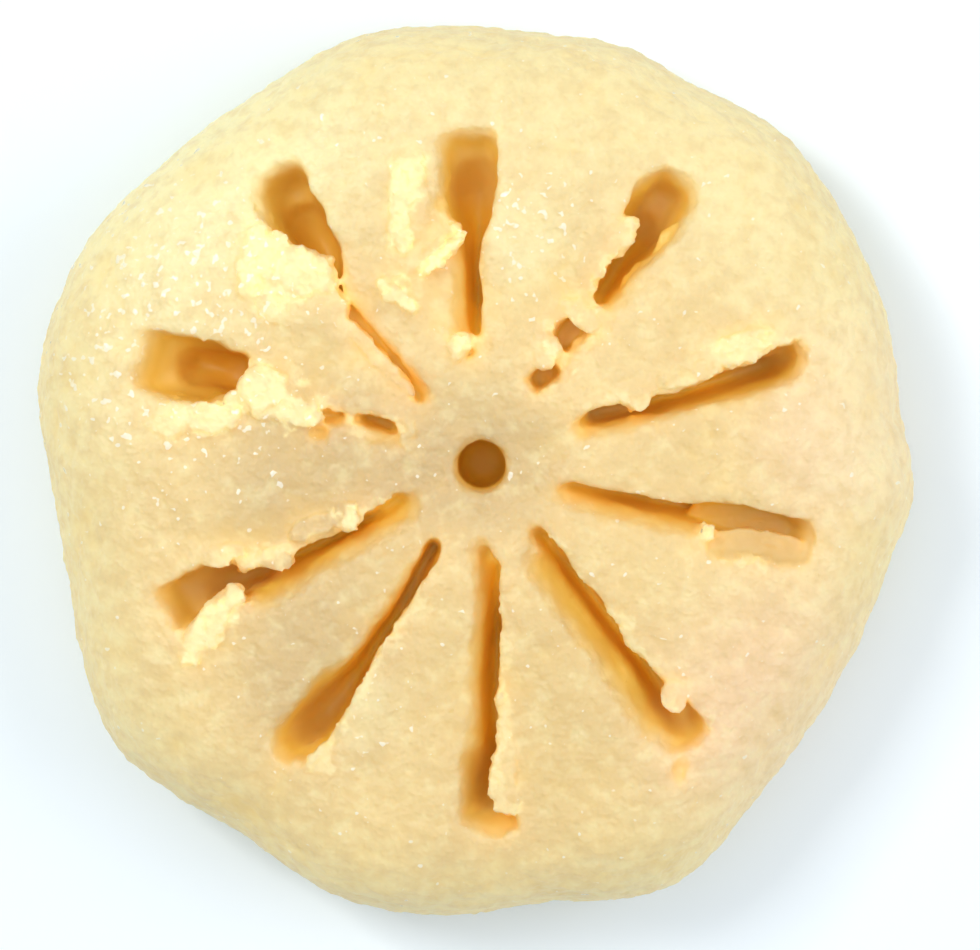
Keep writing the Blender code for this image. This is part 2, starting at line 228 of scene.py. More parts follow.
# %% Remesh, and read the relief of the top
CLAY = 0.18 * MM
CELL = 0.40 * MM
REACH = 2.3 * MM
LIP_ALLOWANCE = 0.05 * MM
MARGIN = 3 * REACH
DEEP = 0.45 * MM
UNDER_SLOTS = 6.6 * MM
BLUR_ROUNDS = 3
BUSY_CELLS = 2

# Shares of the cookie's height: where the lid counts as rim, and where the side ends and the top starts
RIM_SHARE = 0.6
SIDE_SHARE = 0.62
TOP_SHARE = 0.74


def smoothstep(value, start, end):
    """0 below start, 1 above end, and an even curve between, for arrays."""
    share = np.clip((value - start) / (end - start), 0.0, 1.0)
    return share * share * (3.0 - 2.0 * share)


def spread(grid, cells, pick):
    """The highest or lowest value within a round window of the grid."""
    result = grid.copy()
    for across in range(-cells, cells + 1):
        for down in range(-cells, cells + 1):
            if across * across + down * down <= cells * cells + 1:
                result = pick(result, np.roll(grid, (across, down), (0, 1)))
    return result


def blurred(grid, times):
    """The grid with its cells averaged with their neighbours."""
    for _ in range(times):
        for axis in (0, 1):
            grid = 0.5 * grid + 0.25 * (np.roll(grid, 1, axis) + np.roll(grid, -1, axis))
    return grid


class Relief:
    """Where the top of the dough is cut or raised."""

    def __init__(self, thing):
        points = points_of(thing)
        self.start = np.array([low.x, low.y]) - MARGIN
        shape = np.ceil((np.array([high.x - low.x, high.y - low.y]) + 2 * MARGIN) / CELL).astype(int)
        cells = ((points[:, :2] - self.start) / CELL).astype(int)
        grid = np.zeros(shape)
        np.maximum.at(grid, (cells[:, 0], cells[:, 1]), points[:, 2])
        window = round(REACH / CELL)
        filled = spread(spread(grid, window, np.maximum), window, np.minimum)
        ground = spread(spread(filled, window, np.minimum), window, np.maximum)
        self.ground = blurred(ground, BLUR_ROUNDS)
        self.lid = blurred(np.minimum(filled, self.ground + LIP_ALLOWANCE), BLUR_ROUNDS)
        in_rim = self.lid > RIM_SHARE * high.z
        cut = (self.lid - grid > DEEP) & in_rim
        raised = (grid - self.ground > DEEP) & in_rim
        self.busy = blurred(spread((cut | raised).astype(float), BUSY_CELLS, np.maximum), BUSY_CELLS)

    def read(self, grid, points):
        """The grid's value over each point, blended between the four cells nearest to it."""
        place = np.clip((points[:, :2] - self.start) / CELL - 0.5, 0, np.array(grid.shape) - 1.001)
        whole = place.astype(int)
        part = place - whole
        i, j = whole[:, 0], whole[:, 1]
        near = grid[i, j] * (1 - part[:, 0]) + grid[i + 1, j] * part[:, 0]
        far = grid[i, j + 1] * (1 - part[:, 0]) + grid[i + 1, j + 1] * part[:, 0]
        return near * (1 - part[:, 1]) + far * part[:, 1]

    def on_top(self, points):
        """1 over the top and 0 down the side, by how steeply the lid falls."""
        return smoothstep(self.read(self.lid, points), SIDE_SHARE * high.z, TOP_SHARE * high.z)

    def pit(self, points):
        """How far each point of the top and of the slots lies below the lid, in metres."""
        below = np.clip(self.read(self.lid, points) - points[:, 2], 0.0, None)
        return below * self.on_top(points) * smoothstep(points[:, 2], UNDER_SLOTS - MM, UNDER_SLOTS)

    def rise(self, points):
        """How far each point stands above the ground, in metres."""
        return np.clip(points[:, 2] - self.read(self.ground, points), 0.0, None) * self.on_top(points)

    def near_slots(self, points):
        """1 in and beside the slots and on the flakes, and 0 on the broad faces."""
        return smoothstep(self.read(self.busy, points), 0.05, 0.6) * self.on_top(points)


finish_with(cookie, "REMESH", mode="VOXEL", voxel_size=CLAY)
relief = Relief(cookie)
points = points_of(cookie)
print("Deepest", round(relief.pit(points).max() / MM, 1), "mm, highest",
      round(relief.rise(points).max() / MM, 2), "mm,", len(points), "points")

# %% [markdown]
# ## Rub the facets smooth
#
# A Smooth modifier moves each point towards its neighbours. A few rounds all over take the stair
# steps out of the clay. Many rounds with a vertex group then melt the wide facets of the side and of
# the petals, and the group keeps the slots and the flakes out of it.

# %% Smooth the broad faces and leave the slots crisp
LEVELS = 24
FIRST_ROUNDS = 5
MELTING_ROUNDS = 110


def weigh(thing, name, weights):
    """Gives each point of a mesh its weight in a vertex group, in LEVELS steps."""
    group = thing.vertex_groups.new(name=name)
    steps = np.rint(np.clip(weights, 0.0, 1.0) * LEVELS).astype(int)
    for step in range(1, LEVELS + 1):
        group.add(np.flatnonzero(steps == step).tolist(), step / LEVELS, "REPLACE")


def rub(thing, rounds, group=""):
    """Moves each point halfway to the middle of its neighbours, round after round."""
    finish_with(thing, "SMOOTH", factor=0.5, iterations=rounds, vertex_group=group)


busy = relief.near_slots(points)
weigh(cookie, "broad", 1.0 - busy)
rub(cookie, FIRST_ROUNDS)
rub(cookie, MELTING_ROUNDS, "broad")
print("Rubbed smooth:", round(float(np.mean(busy < 0.5)) * 100), "% of the clay")

# %% [markdown]
# ## Pressed edges
#
# The tool leant to one side, so each slot has a crisp edge on one side and a soft shoulder on the
# other, and its outer end is soft too. Two lists say where: the long soft edges, and the single
# patches that were pressed down beside a slot, at its end, or between two bridges of dough.

# %% Write down where the dough was pressed
# The soft edges, as points on the top in mm, walked with the shoulder on the left, each with the
# width of its shoulder and how far it drops, in mm
SOFT_EDGES = (
    (1.3, 1.8, ((0.3, -18.5), (0.7, -15.2), (1.0, -11.9), (1.0, -7.1), (0.9, -4.3))),
    (1.5, 1.8, ((10.8, -14.2), (9.7, -12.6), (7.8, -9.7), (5.3, -6.5), (4.3, -4.9))),
    (0.8, 0.8, ((-5.7, -9.8), (-4.6, -7.2), (-3.5, -5.3))),
    (1.7, 2.2, ((-4.1, -1.4), (-7.6, -3.7), (-10.5, -5.4), (-12.1, -6.4))),
    (1.3, 1.3, ((-0.2, 7.5), (-0.4, 10.4), (-0.6, 13.7))),
    (1.4, 1.8, ((17.0, 6.5), (13.4, 5.0), (9.9, 3.9), (6.7, 3.3))),
    (1.2, 1.4, ((12.9, -2.6), (8.8, -1.7), (5.6, -0.8))),
    (1.0, 1.6, ((-7.4, 10.2), (-2.8, 5.0))),
)

# Presses: place on the top in mm, half length and half width in mm, heading in degrees, how far below
# the lid they go in mm, and how wide their slopes are ahead, behind, on the left and on the right, in mm
PRESSES = (
    (-0.3, 18.0, 2.7, 1.9, 90, 2.6, 1.8, 1.5, 1.5, 0.3),
    (-10.8, 15.1, 3.5, 2.0, 108, 3.6, 2.1, 0.6, 2.7, 0.2),
    (-17.3, 6.6, 2.9, 2.0, 168, 3.0, 2.8, 0.6, 0.6, 0.5),
    (-15.4, 6.4, 2.5, 1.5, 168, 4.8, 3.0, 0.4, 0.7, 0.6),
    (-15.8, -6.9, 3.0, 1.6, 208, 2.8, 2.5, 0.6, 0.5, 0.3),
    (-9.2, -13.8, 3.5, 1.3, 236, 2.8, 2.2, 2.6, 0.2, 0.9),
    (-3.2, -5.9, 2.7, 0.4, 241, 3.9, 0.7, 0.4, 0.2, 0.2),
    (0.3, -18.0, 2.7, 1.4, 270, 2.4, 1.1, 1.1, 0.2, 1.9),
    (1.8, -20.1, 1.3, 0.7, 0, 1.6, 0.5, 0.5, 0.5, 0.5),
    (11.7, -14.2, 2.3, 1.7, -51, 2.1, 1.1, 1.2, 0.3, 2.0),
    (12.3, -17.1, 1.2, 0.6, 80, 0.6, 0.7, 0.7, 0.5, 0.5),
    (17.2, 6.6, 2.7, 1.0, 16, 3.4, 1.6, 1.2, 0.2, 1.2),
    (8.0, 3.8, 1.5, 0.7, 14, 4.2, 0.3, 0.5, 0.2, 0.5),
    (11.3, 15.6, 2.6, 1.6, 58, 4.2, 1.9, 0.8, 0.3, 1.5),
    (17.0, -4.0, 3.2, 1.3, -8, 0.9, 0.8, 0.3, 0.3, 1.2),
    (-8.1, 3.6, 0.9, 0.6, -16, 1.7, 0.4, 0.4, 0.3, 0.5),
    (-8.7, 2.7, 0.7, 0.5, 20, 1.1, 0.4, 0.4, 0.4, 0.4),
    (-5.2, 3.2, 1.1, 0.5, -20, 2.4, 0.6, 0.4, 0.2, 0.5),
    (-4.9, 2.4, 1.9, 0.7, -8, 0.7, 0.9, 0.9, 0.6, 0.6),
    (6.0, 8.7, 1.1, 0.9, 35, 2.3, 0.5, 0.5, 0.5, 0.5),
    (5.3, 7.9, 0.7, 0.6, 80, 2.8, 0.4, 0.4, 0.4, 0.4),
    (4.3, 6.0, 1.2, 0.9, 40, 2.5, 0.5, 0.5, 0.5, 0.5),
    (-12.5, -5.9, 1.6, 0.8, 25, 3.0, 0.5, 0.5, 0.4, 0.5),
    (-1.7, 16.0, 0.6, 0.5, 50, 1.2, 0.5, 0.5, 0.4, 0.4),
)
print(len(SOFT_EDGES), "soft edges and", len(PRESSES), "presses")

# %% [markdown]
# ## Shapes that can be asked about
#
# A press is a rectangle with slopes, a scrap is an oval, and an edge is a line through a few places.
# Each has a function that says how far inside it, or how far beside it, every point of a mesh lies.

# %% Functions that place points against runs, presses and ovals
OVAL_CORE = 0.6
OVAL_EDGE = 1.3


def beside_run(points, run):
    """How far each point is from a line through a few places, level, and whether it is left of it."""
    flat = points[:, :2]
    nearest = np.full(len(flat), 1.0)
    left = np.zeros(len(flat), bool)
    for a, b in zip(run, run[1:]):
        a = np.array(a) * MM
        b = np.array(b) * MM
        along = np.clip((flat - a) @ (b - a) / ((b - a) @ (b - a)), 0.0, 1.0)
        away = np.linalg.norm(flat - a - along[:, None] * (b - a), axis=1)
        turn = (b - a)[0] * (flat - a)[:, 1] - (b - a)[1] * (flat - a)[:, 0]
        left = np.where(away < nearest, turn > 0.0, left)
        nearest = np.minimum(nearest, away)
    return nearest, left


def seen_from(points, x, y, heading):
    """How far ahead and how far to the left of a place on the top each point is, in mm."""
    flat = points[:, :2] / MM - np.array([x, y])
    ahead = np.array([math.cos(math.radians(heading)), math.sin(math.radians(heading))])
    return flat @ ahead, flat @ np.array([-ahead[1], ahead[0]])


def press_share(points, x, y, half_length, half_width, heading, slopes):
    """1 on the floor of a press, and 0 outside it."""
    along, across = seen_from(points, x, y, heading)
    ahead, behind, left, right = slopes
    share = smoothstep(half_length - along, 0.0, ahead)
    share = share * smoothstep(half_length + along, 0.0, behind)
    share = share * smoothstep(half_width - across, 0.0, left)
    return share * smoothstep(half_width + across, 0.0, right)


def oval_share(points, x, y, length, width, heading):
    """1 in an oval on the top, and 0 outside it."""
    along, across = seen_from(points, x, y, heading)
    return 1.0 - smoothstep(np.hypot(2.0 * along / length, 2.0 * across / width), OVAL_CORE, OVAL_EDGE)


print("Ready to place points against", len(PRESSES), "presses")

# %% [markdown]
# ## Press the clay
#
# The script works out the hollow that each press leaves, as a depth below the lid, and how far the
# dough stands above that. A Displace modifier without a texture then moves each point straight down
# by its weight in a vertex group. The flakes of the solid are shaved level in the same move, because
# torn scraps will take their places. On an upright wall the moved points pile up, so the clay is
# remeshed once more, and rounds of the Smooth modifier then soften what was pressed, and the walls of
# the slots with it.

# %% Press down the soft edges, the outer ends and the gaps
SHOULDER_CURVE = 1.5
LEDGE = 0.45 * MM
LEDGE_END = 1.3 * LEDGE
FLAKE = 0.10 * MM
FADE_IN = 0.1 * MM
WALL_STARTS = 0.45 * MM
WALL_IS_DEEP = 1.8 * MM
WALL_ROUNDS = 30
ALL_OVER_ROUNDS = 4


def lower(thing, name, weights):
    """Moves each point straight down by its weight in metres."""
    most = weights.max()
    weigh(thing, name, weights / most)
    finish_with(thing, "DISPLACE", direction="Z", mid_level=0.0, strength=-most, vertex_group=name)


points = points_of(cookie)
hollow = np.zeros(len(points))
for width, drop, run in SOFT_EDGES:
    away, left = beside_run(points, run)
    shoulder = np.clip(1.0 - away / (width * MM), 0.0, 1.0) ** SHOULDER_CURVE
    ledge = 1.0 - smoothstep(away, LEDGE, LEDGE_END)
    hollow = np.maximum(hollow, drop * MM * np.where(left, shoulder, ledge))
for x, y, half_length, half_width, heading, deep, *slopes in PRESSES:
    share = press_share(points, x, y, half_length, half_width, heading, slopes)
    hollow = np.maximum(hollow, deep * MM * share)
above = points[:, 2] - relief.read(relief.lid, points) + hollow
on_top = relief.on_top(points) * (points[:, 2] > UNDER_SLOTS)
cut = np.clip(above, 0.0, None) * smoothstep(hollow, 0.0, FADE_IN)
shaved = np.clip(relief.rise(points) - FLAKE, 0.0, None)
lower(cookie, "pressed", np.maximum(cut, shaved) * on_top)
cookie.vertex_groups.clear()
finish_with(cookie, "REMESH", mode="VOXEL", voxel_size=CLAY)
points = points_of(cookie)
weigh(cookie, "softened", smoothstep(relief.pit(points), WALL_STARTS, WALL_IS_DEEP))
rub(cookie, WALL_ROUNDS, "softened")
rub(cookie, ALL_OVER_ROUNDS)
print("The pressed clay has", len(points), "points")

# %% [markdown]
# ## Torn scraps
#
# Where the tool was pulled out of the dough it dragged scraps along: teeth that hang over a slot,
# bridges across it, a little roll, and flakes that were pushed flat beside it. Each starts as an
# icosphere, is stretched and turned, and is shaved to a low crown above the lid. Others are shaved
# flat down in the slots, as shelves, where the dough was pushed in and not out.

# %% Write down where the scraps and the shelves are
# Place on the top in mm, length and width in mm, heading in degrees, and how far it stands above the
# lid, in mm
SCRAPS = (
    (-10.0, 12.0, 4.8, 3.2, -15, 0.5),
    (-12.6, 12.7, 4.9, 1.9, 76, 0.45),
    (-11.4, 10.3, 3.2, 1.9, -65, 0.25),
    (-11.2, 13.6, 1.9, 1.4, 60, 0.25),
    (-8.3, 12.5, 1.1, 0.6, 60, 0.2),
    (-3.7, 17.0, 4.9, 2.0, 80, 0.35),
    (-3.9, 14.4, 3.0, 1.4, 85, 0.25),
    (-1.6, 13.0, 3.9, 0.8, 44, 0.5),
    (-4.5, 11.1, 2.1, 1.5, -20, 0.4),
    (-3.5, 10.3, 1.8, 0.8, -45, 0.3),
    (-8.1, 10.4, 2.6, 1.5, -45, 0.0),
    (-0.3, 8.0, 1.4, 1.2, 0, 0.25),
    (-0.7, 7.3, 0.9, 0.8, 60, 0.1),
    (-15.5, 3.6, 5.4, 1.9, 0, 0.3),
    (-13.9, 4.6, 1.0, 0.8, 30, 0.1),
    (-11.8, 5.0, 3.7, 3.2, -50, 0.5),
    (-10.1, 4.0, 3.4, 2.3, -15, 0.35),
    (-17.6, 3.2, 2.7, 1.6, 10, 0.2),
    (-5.4, 7.2, 6.5, 0.9, -47, -0.05),
    (6.6, 9.6, 2.9, 1.3, -38, 0.0),
    (4.7, 7.5, 1.6, 1.2, 75, 0.25),
    (4.3, 6.9, 1.1, 0.6, 20, 0.1),
    (8.7, 13.7, 2.0, 1.1, 40, 0.0),
    (9.2, 14.7, 1.2, 1.1, 80, 0.0),
    (7.6, 12.3, 1.5, 0.7, 60, 0.0),
    (9.8, 4.8, 1.6, 1.4, -80, 0.0),
    (12.9, 6.4, 4.4, 1.8, 18, 0.05),
    (15.9, 7.7, 4.4, 2.0, 24, 0.2),
    (13.9, -3.1, 1.1, 0.9, 70, -0.05),
    (12.0, -12.7, 2.0, 1.4, 80, 0.0),
    (-7.0, -2.2, 1.8, 1.5, 75, 0.35),
    (-9.2, -2.8, 3.0, 1.3, 28, 0.0),
    (-11.3, -4.7, 2.1, 1.4, -5, 0.0),
    (-14.3, -4.4, 2.9, 1.2, 22, 0.0),
    (-15.3, -8.8, 5.3, 2.0, 55, 0.4),
    (-13.8, -6.9, 1.6, 1.1, 62, 0.3),
    (2.0, -17.1, 3.9, 1.6, 85, 0.05),
    (2.2, -19.2, 1.5, 0.9, 0, 0.0),
    (-3.4, 1.6, 4.7, 1.0, 95, 0.04),
)

# Place on the top in mm, length and width in mm, heading in degrees, and how far below the lid the
# top of the shelf is, in mm
SHELVES = (
    (17.0, -5.7, 9.3, 5.4, -12, 0.8),
    (12.2, 13.4, 3.2, 2.7, 50, 1.4),
    (10.1, 11.1, 4.1, 2.5, 52, 1.7),
    (6.5, 7.6, 1.6, 1.2, 55, 1.2),
    (5.7, 8.6, 3.5, 2.7, 50, 2.3),
    (4.2, 5.9, 3.0, 2.1, 40, 2.4),
    (-8.3, 3.2, 2.7, 2.6, -12, 1.7),
    (-5.2, 3.1, 3.0, 1.6, -20, 2.5),
    (-5.2, 7.4, 8.8, 1.5, -47, 1.7),
    (16.8, -3.3, 8.8, 3.9, -10, 2.8),
    (12.9, -1.9, 5.3, 2.9, -12, 3.9),
)
print(len(SCRAPS), "scraps of torn dough and", len(SHELVES), "shelves")

# %% [markdown]
# ## Tear the dough
#
# Torn dough has no smooth outline, so the oval that is left standing is read through noise that pulls
# its edge about. Displace modifiers then tear all the scraps at once: two that push sideways, and one
# along the normals for a rough face.

# %% Place the scraps beside the slots and tear them
SCRAP_HEIGHT = 3.0
SCRAP_LEVEL = -0.5
SHELF_HEIGHT = 7.0
BLOB_FINENESS = 5

# The noise that pulls an outline about, coarse and fine: its size and how far it reaches, in mm
TEARS = ((1.0, 0.9), (0.45, 0.5))
# Blender takes another noise at each start, unless it is given a seed
TEAR_SEED = 7
# The width in mm from which a scrap is torn that far; a narrower one is torn less, to keep its shape
WELL_TORN = 2.0

# Cloud textures: name, size in mm, levels of detail, kind of noise, how far they push in mm, and which
# way
SOFT_NOISE = "BLENDER_ORIGINAL"
SHARP_NOISE = "ORIGINAL_PERLIN"
SCRAP_TEXTURES = (
    ("tear_across", 0.80, 2, SOFT_NOISE, 0.50, "X"),
    ("tear_along", 0.70, 2, SHARP_NOISE, 0.50, "Y"),
    ("shreds", 0.45, 2, SOFT_NOISE, 0.14, "NORMAL"),
)


def add_blob(place, size, heading):
    """An icosphere stretched to a size in mm, turned by a heading and moved to its place."""
    bpy.ops.mesh.primitive_ico_sphere_add(subdivisions=BLOB_FINENESS, radius=0.5 * MM, location=(0, 0, 0))
    blob = bpy.context.object
    turn = Matrix.Rotation(math.radians(heading), 4, "Z")
    stretch = Matrix.Diagonal((*size, 1.0))
    blob.data.transform(Matrix.Translation(place) @ turn @ stretch)
    return blob


def join(things, name):
    """Joins objects into the first one."""
    bpy.ops.object.select_all(action="DESELECT")
    for thing in things:
        thing.select_set(True)
    bpy.context.view_layer.objects.active = things[0]
    if len(things) > 1:
        bpy.ops.object.join()
    things[0].name = name
    return things[0]


def push(thing, name, size, detail, basis, strength, direction, group=""):
    """Displaces a mesh out and in by a cloud texture, with its size and its strength in mm."""
    texture = bpy.data.textures.new(name, "CLOUDS")
    texture.noise_scale = size * MM
    texture.noise_depth = detail
    texture.noise_basis = basis
    finish_with(thing, "DISPLACE", texture=texture, texture_coords="LOCAL", strength=strength * MM,
                mid_level=0.5, direction=direction, vertex_group=group)


def lid_at(x, y):
    """The level of the lid over a place on the top in mm."""
    return relief.read(relief.lid, np.array([[x * MM, y * MM, 0.0]]))[0]


def raggedness(points):
    """A sideways shift by noise for each point, so that an outline read from them is ragged."""
    shift = np.zeros((len(points), 3))
    seed_set(TEAR_SEED)
    for size, reach in TEARS:
        rows = np.array([noise_vector(place) for place in (points / (size * MM)).tolist()])
        shift[:, :2] += reach * MM * rows[:, :2]
    return shift


def torn_oval(points, shift, x, y, length, width, heading):
    """1 in an oval with a ragged outline, and 0 outside it."""
    shifted = points + shift * min(1.0, width / WELL_TORN)
    return oval_share(shifted, x, y, length, width, heading)


def shave(blob, rows, crown):
    """Lowers the points, given in rows, that stand higher above the lid than a crown in metres."""
    lower(blob, "shaved", np.clip(rows[:, 2] - relief.read(relief.lid, rows) - crown, 0.0, None))
    blob.vertex_groups.clear()


def add_scrap(x, y, length, width, heading, shows):
    """A scrap of torn dough that shows above the lid by some mm."""
    level = lid_at(x, y) + SCRAP_LEVEL * MM
    blob = add_blob((x * MM, y * MM, level), (length, width, SCRAP_HEIGHT), heading)
    rows = points_of(blob)
    shave(blob, rows, shows * MM * torn_oval(rows, raggedness(rows), x, y, length, width, heading))
    return blob


def add_shelf(x, y, length, width, heading, depth):
    """A flat shelf of dough in a slot, some mm below the lid."""
    level = lid_at(x, y) - depth * MM
    blob = add_blob((x * MM, y * MM, level), (length, width, SHELF_HEIGHT), heading)
    shave(blob, points_of(blob), -depth * MM)
    return blob


blobs = [add_scrap(*row) for row in SCRAPS] + [add_shelf(*row) for row in SHELVES]
scraps = join(blobs, "scraps")
for row in SCRAP_TEXTURES:
    push(scraps, *row)
print("The torn scraps have", len(scraps.data.polygons), "faces")

# %% [markdown]
# ## Crumbs on the torn edges
#
# A torn edge of shortbread isn't a line: it is a row of crumbs, each half a millimetre or less. The
# script walks over the clay's own points, keeps the steep ones just under the rim of a slot that lie
# near a torn run, and picks some of them, so the crumbs always sit on the dough.

# %% Find places for the crumbs along the torn edges
EDGE_NEAR = 0.75 * MM
EDGE_CORE = 0.4 * EDGE_NEAR
TORN_ENOUGH = 0.3
STEEP = 0.80
UNDER_RIM = 2.2 * MM
WELL_ON_TOP = 0.9
SPACING = 0.30 * MM
THINNING_SEED = 11

# The torn edges, as points on the top in mm, each with how big its crumbs are in mm
TORN_RUNS = (
    (0.50, ((-12.8, 15.3), (-11.9, 14.9), (-10.9, 14.4), (-10.1, 13.4), (-9.0, 12.7), (-7.8, 11.3))),
    (0.34, ((-16.0, 7.6), (-14.5, 7.1), (-13.3, 6.5), (-12.8, 5.5))),
    (0.50, ((-17.5, 4.4), (-14.9, 4.6), (-12.9, 4.4))),
    (0.42, ((-9.3, 4.1), (-7.4, 3.6), (-4.3, 3.0))),
    (0.42, ((-1.3, 17.2), (-1.6, 16.1), (-0.7, 14.6), (-0.2, 14.3))),
    (0.26, ((-0.2, 13.4), (-0.2, 11.0), (0.1, 8.4))),
    (0.50, ((9.8, 15.5), (9.7, 14.4), (8.8, 13.5), (8.2, 12.7), (7.6, 11.0), (7.3, 10.1))),
    (0.42, ((5.3, 9.4), (6.9, 8.5), (6.0, 7.8), (5.0, 6.6), (4.6, 5.5))),
    (0.46, ((6.6, 3.7), (7.8, 4.6), (9.1, 4.4), (9.8, 3.8), (10.6, 4.7), (15.5, 6.6), (19.2, 7.8))),
    (0.26, ((13.7, -2.8), (14.3, -3.6), (17.0, -4.7))),
    (0.34, ((4.6, -3.6), (6.4, -5.9), (7.9, -7.8), (9.7, -9.7), (11.6, -13.4), (13.8, -14.2))),
    (0.36, ((1.7, -7.1), (1.8, -13.2), (1.3, -16.4), (1.4, -19.4), (2.7, -19.4))),
    (0.34, ((-2.9, -7.1), (-4.9, -9.5), (-7.3, -13.3), (-9.1, -16.1), (-8.3, -16.9))),
    (0.26, ((-5.3, -10.0), (-7.6, -11.9), (-9.9, -14.2))),
    (0.48, ((-4.5, -1.6), (-7.6, -3.1), (-11.8, -4.7), (-14.9, -4.9), (-16.3, -5.7))),
    (0.50, ((-12.1, -6.5), (-13.3, -5.9), (-14.2, -6.6), (-16.6, -9.4))),
)


def thinned(points, spacing, seed):
    """The numbers of points in a mixed order, none nearer than spacing to one before it."""
    order = list(range(len(points)))
    random.Random(seed).shuffle(order)
    taken = {}
    kept = []
    for i in order:
        cell = tuple((points[i] // spacing).astype(int))
        crowd = [taken.get((cell[0] + a, cell[1] + b, cell[2] + c))
                 for a in (-1, 0, 1) for b in (-1, 0, 1) for c in (-1, 0, 1)]
        if all(j is None or np.linalg.norm(points[i] - points[j]) >= spacing for j in crowd):
            taken[cell] = i
            kept.append(i)
    return kept


points = points_of(cookie)
facing = normals_of(cookie)
torn = np.zeros(len(points))
crumb_size = np.zeros(len(points))
for size, run in TORN_RUNS:
    share = 1.0 - smoothstep(beside_run(points, run)[0], EDGE_CORE, EDGE_NEAR)
    crumb_size = np.where(share > torn, size, crumb_size)
    torn = np.maximum(torn, share)
edge = (torn > TORN_ENOUGH) & (facing[:, 2] < STEEP)
edge = edge & (relief.pit(points) < UNDER_RIM) & (relief.on_top(points) > WELL_ON_TOP)
chosen = np.flatnonzero(edge)
kept = chosen[thinned(points[chosen], SPACING, THINNING_SEED)]
print(len(kept), "places for crumbs on", len(TORN_RUNS), "torn edges")

# %% [markdown]
# ## Four crumbs, many times
#
# Four crumbs are modelled, and every other one is a turned and scaled copy of one of them. A crumb is
# sunk into the dough by a share of its size, and it hardly stands above the lid.

# %% Model four crumbs and set their copies on the torn edges
CRUMB_KINDS = 4
CRUMB_SEED = 20
SIZE_SEED = 12
CRUMB_SINK = 0.26
CRUMB_BELOW = 0.48
SMALLEST_CRUMB = 0.5
LARGEST_CRUMB = 1.2
THINNEST_CRUMB = 0.6


def model_crumb(seed):
    """One crumb a millimetre across: an icosphere whose points were pushed about."""
    bpy.ops.mesh.primitive_ico_sphere_add(subdivisions=2, radius=0.5 * MM, location=(0, 0, 0))
    crumb = bpy.context.object
    edit(crumb, lambda: bpy.ops.transform.vertex_random(offset=0.16 * MM, uniform=0.6, seed=seed))
    return crumb


def grow_crumbs(places, sizes, name, seed):
    """Copies of the four crumbs, each turned at random and scaled to a size in mm, as one object."""
    dice = random.Random(seed)
    kinds = [model_crumb(seed + kind) for kind in range(CRUMB_KINDS)]
    copies = []
    for i, (place, size) in enumerate(zip(places, sizes)):
        mesh = kinds[i % CRUMB_KINDS].data.copy()
        angle = dice.uniform(0, math.tau)
        axis = Vector((dice.gauss(0, 1), dice.gauss(0, 1), 1))
        width = size * dice.uniform(THINNEST_CRUMB, 1.0)
        height = size * dice.uniform(THINNEST_CRUMB, 1.0)
        turned = Matrix.Rotation(angle, 4, axis) @ Matrix.Diagonal((size, width, height, 1.0))
        mesh.transform(Matrix.Translation(place) @ turned)
        copy = bpy.data.objects.new(name, mesh)
        bpy.context.scene.collection.objects.link(copy)
        copies.append(copy)
    for kind in kinds:
        bpy.data.objects.remove(kind)
    return join(copies, name)


dice = random.Random(SIZE_SEED)
sizes = [crumb_size[i] * dice.uniform(SMALLEST_CRUMB, LARGEST_CRUMB) for i in kept]
lid = relief.read(relief.lid, points)
places = []
for i, size in zip(kept, sizes):
    place = Vector(points[i] - facing[i] * CRUMB_SINK * size * MM)
    place.z = min(place.z, lid[i] - CRUMB_BELOW * size * MM)
    places.append(place)
crumbs = grow_crumbs(places, sizes, "edge_crumbs", CRUMB_SEED)
print("The crumbs have", len(crumbs.data.polygons), "faces")

# %% [markdown]
# ## One skin again
#
# The scraps and the crumbs are pressed into the dough by a second, finer voxel remesh. It melts
# everything that overlaps into one closed skin, with no edges left inside.

# %% Fuse the scraps and the crumbs into the dough
SKIN = 0.13 * MM
cookie = join([cookie, scraps, crumbs], "cookie")
cookie.vertex_groups.clear()
finish_with(cookie, "REMESH", mode="VOXEL", voxel_size=SKIN)
rub(cookie, 1)
print("The skin has", len(cookie.data.polygons), "faces")

# %% [markdown]
# ## Lumps and grain
#
# Pressed dough is never flat. Lumps one to five millimetres across come from the flour and the
# butter, and a grain of less than a millimetre from the sugar. Displace modifiers push the skin out
# and in by a texture, and two vertex groups say how much. The foot and the walls of the slots are
# less lumpy than the rest, and the torn places are torn once more, finer than before.

# %% Push out the lumps and the grain
RUN_IS_TORN = 0.7
RUN_CORE = 0.2 * MM
RUN_EDGE = 0.8 * MM
# How far below the lid the skin still counts as torn, and from where it doesn't
TORN_DEPTH = 0.4 * MM
WHOLE_DEPTH = 1.0 * MM
# How high a scrap stands, in mm, when it doesn't count as torn and when it does in full
SUNK_SCRAP = -0.2
RAISED_SCRAP = 0.35
# The smooth foot, the height from which the side is lumpy, and the slots, where the lumps weigh less
FOOT = 0.2 * MM
ABOVE_FOOT = 2.5 * MM
SLOT_RIM = 0.2 * MM
SLOT_WALL = 3.0 * MM
SLOT_CALM = 0.6
TORN_ROUNDS = 2

# Cloud textures, as above, each with the vertex group that weighs it
SKIN_TEXTURES = (
    ("swells", 4.5, 1, SOFT_NOISE, 0.40, "NORMAL", "lumpy"),
    ("lumps", 1.3, 1, SOFT_NOISE, 0.30, "NORMAL", "lumpy"),
    ("grain", 0.55, 1, SOFT_NOISE, 0.13, "NORMAL", "lumpy"),
    ("tears_across", 0.55, 2, SOFT_NOISE, 0.70, "X", "torn"),
    ("tears_along", 0.50, 2, SHARP_NOISE, 0.68, "Y", "torn"),
    ("shredding", 0.45, 2, SOFT_NOISE, 0.34, "NORMAL", "torn"),
)


